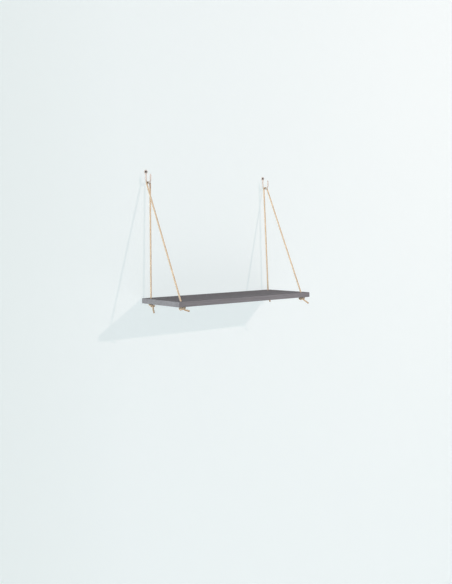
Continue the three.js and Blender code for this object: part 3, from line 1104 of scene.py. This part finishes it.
@dataclass(frozen=True)
class LaidSkin:
    """The surface of three strands laid round a rope's middle line.

    A slow swell, of two waves in radians per metre, keeps the lay from looking machined. The hook's arm
    presses the strands. A brown is painted on them there and at the tails: painted shade in the hook and
    under the board, with grime from hands.
    """

    lay_length: float = 0.016
    strand_offset: float = 0.00095
    crest_radius: float = 0.00262
    points_round: int = 36
    end_opening: float = 0.22
    end_reach: float = 0.006
    end_dome: float = 0.0008
    swell: float = 0.018
    swell_waves: Span = (410.0, 173.0)
    swell_lag: float = 1.0
    pressed: Fade = Fade(0.008, 0.008, 0.06)
    hook_painted_shade_and_wear: Fade = Fade(0.004, 0.012, 1.0)
    tail_painted_shade_and_grime: Fade = Fade(0.003, 0.013, 0.6)

    # Radii of the rings that close a cut end, as shares of the rope's own.
    CAP_SHARES = (0.95, 0.82, 0.64, 0.44, 0.22)

    def surface(self, line: Array, from_middle: Array) -> Surface:
        """The laid surface round the line.

        Three strands touch round the middle. A strand is a circle of radius r whose centre is a from the
        middle, a + r being the rope's radius, so the skin lies a·cos(b) + sqrt(r² − a²·sin²(b)) from the
        middle, b being the angle to the nearest strand's crest. The rings turn once in each lay length. Near
        the cut ends a grows, as the strands spring apart, and each end is three domes of height
        h·sqrt(1 − d²/r²), d being the distance to the strand's centre.

        Args:
            line: The rope's middle line.
            from_middle: Distance of each of its points from the middle of the bight.

        Returns:
            The closed surface with the map and values that the rope's finish reads.
        """
        forward, side, upper = carried_axes(line)
        walked = lengths_along(line)
        to_end = np.minimum(walked, walked[-1] - walked)
        n, m = len(line), self.points_round
        own = np.arange(m) / m * TURN
        from_crest = (own + TURN / 6) % (TURN / 3) - TURN / 6
        r = self.crest_radius - self.strand_offset
        opening = self.end_opening * np.clip(1 - to_end / self.end_reach, 0, 1) ** 2
        a = (self.strand_offset * (1 + opening))[:, None]
        skin = a * np.cos(from_crest) + np.sqrt(r**2 - (a * np.sin(from_crest)) ** 2)
        middle_skin = skin[n // 2]
        crest = (middle_skin - middle_skin.min()) / np.ptp(middle_skin)
        quick, slow = self.swell_waves
        swell = 1 - self.swell * (1 + np.sin(walked * quick) * np.sin(walked * slow + self.swell_lag))
        reach = skin * (swell * (1 - self.pressed.at(from_middle)))[:, None]
        shares = np.array(self.CAP_SHARES)[:, None]
        cap_reach = shares * reach[0]
        off_centre = (cap_reach * np.cos(from_crest) - a[0]) ** 2 + (cap_reach * np.sin(from_crest)) ** 2
        dome = self.end_dome * np.sqrt(np.clip(1 - off_centre / r**2, 0, 1))
        at = np.clip(np.arange(-len(shares), n + len(shares)), 0, n - 1)
        reach = np.concatenate([cap_reach[::-1], reach, shares * reach[-1]])
        push = np.concatenate([-dome[::-1], np.zeros((n, m)), dome])
        angle = own + (walked[at] / self.lay_length * TURN)[:, None]
        x, y = reach * np.cos(angle), reach * np.sin(angle)
        parts = ((x, side), (y, upper), (push, forward))
        rings = line[at][:, None] + sum(part[..., None] * way[at][:, None] for part, way in parts)
        # The hook and the tails get painted shade, with some grime, in the rope's colour.
        handling = np.maximum(self.hook_painted_shade_and_wear.at(from_middle), self.tail_painted_shade_and_grime.at(to_end))
        values = {
            "straight_lie": np.stack([x, y, walked[at][:, None] + push], axis=-1).reshape(-1, 3),
            "crest_share": np.broadcast_to(crest, rings.shape[:2]).reshape(-1),
            "handling": np.repeat(handling[at], m),
        }
        return closed_tube(rings, walked[at] / self.lay_length, values)


@dataclass(frozen=True)
class StrayFibres:
    """Single hairs that stand off a rope, and a frayed tuft at each of its ends.

    A span is the least and the most of a random draw, and a scatter scales one that has no bounds. A hair is
    the shortest plus up to longer_by, by the square of a draw. Roots lie a share of the rope's diameter from
    its middle line.
    """

    hairs: int = 1700
    hair_radius: float = 0.000032
    bare_reach: float = 0.012
    bare_rings: int = 8
    root_share: float = 0.42
    lean: Span = (0.12, 0.55)
    heading_scatter: float = 0.35
    shortest: float = 0.0009
    longer_by: float = 0.0048
    bend: Span = (-0.1, 0.35)
    bend_scatter: float = 0.25
    tuft: int = 90
    tuft_root_share: float = 0.36
    tuft_depth: float = 0.0006
    tuft_fan: float = 0.45
    tuft_heading_scatter: float = 0.12
    tuft_length: Span = (0.0016, 0.0038)
    tuft_bend_scatter: float = 0.3

    def surface(self, line: Array, from_middle: Array, diameter: float, seed: int) -> Surface:
        """All hairs of one rope. There are none where the rope is bare from rubbing on the hook's arm.

        Args:
            line: The rope's middle line.
            from_middle: Distance of each of its points from the middle of the bight.
            diameter: The rope's.
            seed: Number that fixes the hairs' places.

        Returns:
            The hairs as one surface.
        """
        dice = np.random.default_rng(seed)
        forward, side, upper = carried_axes(line)
        count = self.hairs
        at = dice.integers(self.bare_rings, len(line) - self.bare_rings, count)
        spin = dice.uniform(0, TURN, count)[:, None]
        out = np.cos(spin) * side[at] + np.sin(spin) * upper[at]
        roots = line[at] + out * diameter * self.root_share
        way = dice.choice([-1.0, 1.0], count)[:, None] * forward[at]
        lean = dice.uniform(*self.lean, count)[:, None]
        strayed = self.heading_scatter * dice.normal(size=(count, 3))
        headings = unit(way + lean * (out + strayed))
        lengths = self.shortest + self.longer_by * dice.uniform(0, 1, count) ** 2
        bends = out * dice.uniform(*self.bend, count)[:, None]
        bends += self.bend_scatter * dice.normal(size=(count, 3))
        bends *= lengths[:, None]
        kept = from_middle[at] > self.bare_reach
        count = 2 * self.tuft
        ends = np.repeat([0, len(line) - 1], self.tuft)
        away = np.repeat([-forward[0], forward[-1]], self.tuft, axis=0)
        spin = dice.uniform(0, TURN, count)[:, None]
        spread = np.sqrt(dice.uniform(0, 1, count))[:, None]
        out = spread * (np.cos(spin) * side[ends] + np.sin(spin) * upper[ends])
        end_roots = line[ends] + out * diameter * self.tuft_root_share - away * self.tuft_depth
        strayed = self.tuft_heading_scatter * dice.normal(size=(count, 3))
        end_headings = unit(away + self.tuft_fan * out + strayed)
        end_lengths = dice.uniform(*self.tuft_length, count)
        end_bends = self.tuft_bend_scatter * dice.normal(size=(count, 3)) * end_lengths[:, None]
        return hair_tufts(
            np.vstack([roots[kept], end_roots]),
            np.vstack([headings[kept], end_headings]),
            np.vstack([bends[kept], end_bends]),
            np.concatenate([lengths[kept], end_lengths]),
            self.hair_radius,
        )


@dataclass
class RopeHanging:
    """One rope over its hook with its hairs."""

    route: RopeRoute
    skin: LaidSkin = LaidSkin()
    fibres: StrayFibres = StrayFibres()
    hair_seed: int = 11
    bends_above: float = 0.012
    bends_below: float = 0.003
    path_stride: int = 2

    PARTS = ("rope_bight", "front_strand", "back_strand", "front_knot", "back_knot")

    def build(self, rope: bpy.types.Material, hair: bpy.types.Material) -> None:
        """Args:
            rope: The rope's finish.
            hair: The hairs' finish.
        """
        route = self.route
        word = route.side.word
        line = route.whole()
        walked = lengths_along(line)
        from_middle = route.from_middle(walked)
        hairs = self.fibres.surface(line, from_middle, route.diameter, self.hair_seed + route.side.value)
        whole = self.skin.surface(line, from_middle).piece(f"{word}_rope", rope)
        fuzz = hairs.piece(f"{word}_rope_hairs", hair)
        middle = (route.hole(Depth.FRONT) + route.hole(Depth.BACK)) / 2
        for made in (whole, fuzz):
            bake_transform(made)
        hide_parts(*(f"{word}_{part}" for part in self.PARTS))


# Board and hooks


@dataclass(frozen=True)
class SolidCopy:
    """Merged, smooth-shaded copies of the solids' triangles, sharp past the crease, an angle in degrees."""

    crease: float
    merge: float = 1e-6

    def build(self, node: str, name: str, finish: bpy.types.Material, slot: str) -> None:
        """Stands a copy in its node's place, on the same body.

        Args:
            node: The CAD node.
            name: The copy's name.
            finish: The copy's material.
            slot: The record's material slot; not used.
        """
        source = frame["nodes"][node]
        mesh = source.data.copy()
        mesh.name = name
        work = bmesh.new()
        work.from_mesh(mesh)
        bmesh.ops.remove_doubles(work, verts=work.verts, dist=self.merge)
        work.to_mesh(mesh)
        work.free()
        mesh.shade_smooth()
        mesh.set_sharp_from_angle(angle=math.radians(self.crease))
        mesh.materials.clear()
        mesh.materials.append(finish)
        made = linked(bpy.data.objects.new(name, mesh))
        made.modifiers.new("faces_weighed", "WEIGHTED_NORMAL").keep_sharp = True
        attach(made, source["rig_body"])
        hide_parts(node)
        log.info("%s: %d faces", name, len(mesh.polygons))


@dataclass
class ShelfBoard:
    """The painted board with a hole near each corner."""

    copies: SolidCopy = SolidCopy(crease=40.0)

    def build(self, paint: bpy.types.Material) -> None:
        """Dresses the board."""
        self.copies.build("shelf_board", "painted_board", paint, "painted_wood")


@dataclass
class HookSet:
    """One wall hook with its screw and the plug behind it."""

    side: Side
    copies: SolidCopy = SolidCopy(crease=35.0)

    def build(self, enamel: bpy.types.Material, steel: bpy.types.Material, nylon: bpy.types.Material) -> None:
        """Dresses the hook, the screw and the plug.

        Args:
            enamel: The hook's finish.
            steel: The screw's finish.
            nylon: The plug's finish.
        """
        word = self.side.word
        self.copies.build(f"{word}_hook", f"{word}_enamelled_hook", enamel, "hook_enamel")
        self.copies.build(f"{word}_screw", f"{word}_black_screw", steel, "dark_screw")
        self.copies.build(f"{word}_wall_plug", f"{word}_nylon_plug", nylon, "grey_nylon")


# Studio


@dataclass(frozen=True)
class NearLamp:
    """The key lamp, which stands in the room and casts the shelf's shadow on the wall."""

    name: str = "key_lamp"
    place: Point = (1.60, -2.74, 0.89)
    aim: Point = (0.0, -0.1, -0.385)
    radius: float = 0.02
    strength: float = 0.44
    colour: Colour = (1.0, 0.72, 0.65)

    def build(self) -> None:
        """Adds the lamp, with power = 4·π²·distance²·strength, the strength being its light at the shelf."""
        away = float(np.linalg.norm(np.subtract(self.place, self.aim)))
        data = bpy.data.lights.new(self.name, "POINT")
        data.energy, data.color = 4 * math.pi**2 * away**2 * self.strength, self.colour
        data.shadow_soft_size = self.radius
        linked(bpy.data.objects.new(self.name, data)).location = self.place


@dataclass(frozen=True)
class WideLamp:
    """A distant lamp: direction from the shelf, light on a face square to it, and its width in degrees."""

    name: str
    towards: Point
    strength: float
    width: float
    colour: Colour = (1.0, 1.0, 1.0)
    on_wall: bool = False

    def build(self, wall_apart: bpy.types.Collection) -> None:
        """Adds the lamp.

        Args:
            wall_apart: Collection that keeps a lamp off the wall.
        """
        data = bpy.data.lights.new(self.name, "SUN")
        data.energy, data.angle, data.color = self.strength * math.pi, math.radians(self.width), self.colour
        made = linked(bpy.data.objects.new(self.name, data))
        back = unit(np.array(self.towards))
        across = unit(np.cross((0.0, 0.0, 1.0), back))
        turn = np.column_stack([across, np.cross(back, across), back])
        made.matrix_world = Matrix(turn.tolist()).to_4x4()
        if not self.on_wall:
            made.light_linking.receiver_collection = wall_apart


@dataclass
class Studio:
    """A pale wall and floor, a soft sky, and four plain lamps.

    The wall keeps only the key lamp's shadows: the wide lamps in front of it would cloud it round the board.
    """

    wall_y: float = 0.0003
    wall_reach: float = 5.0
    wall_top: float = 2.2
    floor_z: float = -1.75
    sky: Colour = (0.97, 0.99, 1.0)
    sky_on_object: float = 0.15
    sky_seen: float = 0.97
    key: NearLamp = NearLamp()

    WIDE_LAMPS = (
        WideLamp("front_lamp", (0.1, -0.9, 0.45), strength=0.20, width=30.0),
        WideLamp("fill_lamp", (-0.96, -0.25, 0.1), strength=1.13, width=40.0, colour=(0.96, 1.0, 1.01)),
        WideLamp("rear_lamp", (0.1, 0.9, 0.35), strength=0.5, width=40.0, on_wall=True),
    )

    def flat(self, name: str, corners: Sequence[Point], finish: bpy.types.Material) -> bpy.types.Object:
        """One flat stage piece, facing the way its corners turn.

        Args:
            name: The piece's name.
            corners: Its four corners.
            finish: Its material.

        Returns:
            The piece.
        """
        made = Surface(np.array(corners), np.array([[0, 1, 2, 3]])).piece(name, finish)
        made.visible_shadow = False
        return made

    def build(self, wall: bpy.types.Material, floor: bpy.types.Material) -> None:
        """Builds the stage, the world and the lamps.

        Args:
            wall: The wall's finish.
            floor: The floor's finish.
        """
        r, y, top, low = self.wall_reach, self.wall_y, self.wall_top, self.floor_z
        backdrop = self.flat("studio_wall", [(-r, y, low), (r, y, low), (r, y, top), (-r, y, top)], wall)
        self.flat("studio_floor", [(-r, -2 * r, low), (r, -2 * r, low), (r, r, low), (-r, r, low)], floor)
        world = bpy.data.worlds.new("studio_sky")
        bpy.context.scene.world = world
        world.use_nodes = True
        bench = NodeBench(world.node_tree)
        strength = bench.spread(bench.seen_rays(), (0.0, 1.0), self.sky_on_object, self.sky_seen)
        light = bench.add("ShaderNodeBackground", {"Color": self.sky, "Strength": strength})
        bench.add("ShaderNodeOutputWorld", {"Surface": light.outputs[0]})
        wall_apart = bpy.data.collections.new("unlit_by_wide_lamps")
        wall_apart.objects.link(backdrop)
        wall_apart.collection_objects[0].light_linking.link_state = "EXCLUDE"
        self.key.build()
        for lamp in self.WIDE_LAMPS:
            lamp.build(wall_apart)
        log.info("studio: wall, floor, sky and %d lamps", 1 + len(self.WIDE_LAMPS))


@dataclass
class PhotoCamera:
    """The level camera that the photo was taken with, as fitted to the shelf's corners, holes and screws.

    Angles are in degrees. The focal length and the row of the level line are in the photo's pixels.
    """

    place: Point = (-1.28876, -1.77838, -0.22021)
    yaw: float = 37.371
    roll: float = -0.900
    focal_pixels: float = 684.88
    middle_row: float = 243.99
    columns: int = 452
    rows: int = 584
    sensor: float = 36.0
    clip: Span = (0.01, 50.0)

    def build(self) -> None:
        """Adds the camera and makes it the scene's."""
        yaw, roll = math.radians(self.yaw), math.radians(self.roll)
        ahead = np.array([math.sin(yaw), math.cos(yaw), 0.0])
        level = np.array([math.cos(yaw), -math.sin(yaw), 0.0])
        plumb = np.array([0.0, 0.0, 1.0])
        right = level * math.cos(roll) + plumb * math.sin(roll)
        up = plumb * math.cos(roll) - level * math.sin(roll)
        data = bpy.data.cameras.new("photo_camera")
        data.sensor_width, data.sensor_fit = self.sensor, "AUTO"
        data.lens = self.focal_pixels / max(self.rows, self.columns) * self.sensor
        data.shift_y = (self.middle_row - self.rows / 2) / self.rows
        data.clip_start, data.clip_end = self.clip
        made = linked(bpy.data.objects.new("photo_camera", data))
        turn = Matrix(np.column_stack([right, up, -ahead]).tolist()).to_4x4()
        made.matrix_world = Matrix.Translation(self.place) @ turn
        bpy.context.scene.camera = made
        log.info("camera: %.1f mm lens, shift %.3f", data.lens, data.shift_y)


def main() -> None:
    """Builds the camera, the ropes, the board, the hooks and the studio, in that order."""
    logging.basicConfig(level=logging.INFO, format="%(name)s %(message)s")
    bpy.context.scene.view_settings.view_transform = "Standard"
    effects = SharedEffects()
    PhotoCamera().build()
    rope, hair = LaidRopeFibre().material(effects), LooseFibre().material(effects)
    left_tails = {Depth.FRONT: TailLie(-20, 38, 18, 0.008), Depth.BACK: TailLie(-10, 5, 78, 0.010)}
    right_tails = {Depth.FRONT: TailLie(-20, 35, 37, 0.013), Depth.BACK: TailLie(-25, 0, 80, 0.004)}
    for side, tails in ((Side.LEFT, left_tails), (Side.RIGHT, right_tails)):
        RopeHanging(RopeRoute(side, tails)).build(rope, hair)
    ShelfBoard().build(PaintedWood().material(effects))
    enamel, steel, nylon = (f.material(effects) for f in (CreamEnamel(), BlackenedSteel(), GreyNylon()))
    for side in Side:
        HookSet(side).build(enamel, steel, nylon)
    # The wall's tone runs lighter to the right: painted light.
    wall = PalePlaster("pale_wall", (0.735, 0.822, 0.826), (0.787, 0.872, 0.887))
    floor = PalePlaster("pale_floor", (0.84, 0.86, 0.86), (0.84, 0.86, 0.86), own_strength=1.05)
    Studio().build(wall.material(effects), floor.material(effects))


if __name__ == "__main__":
    main()
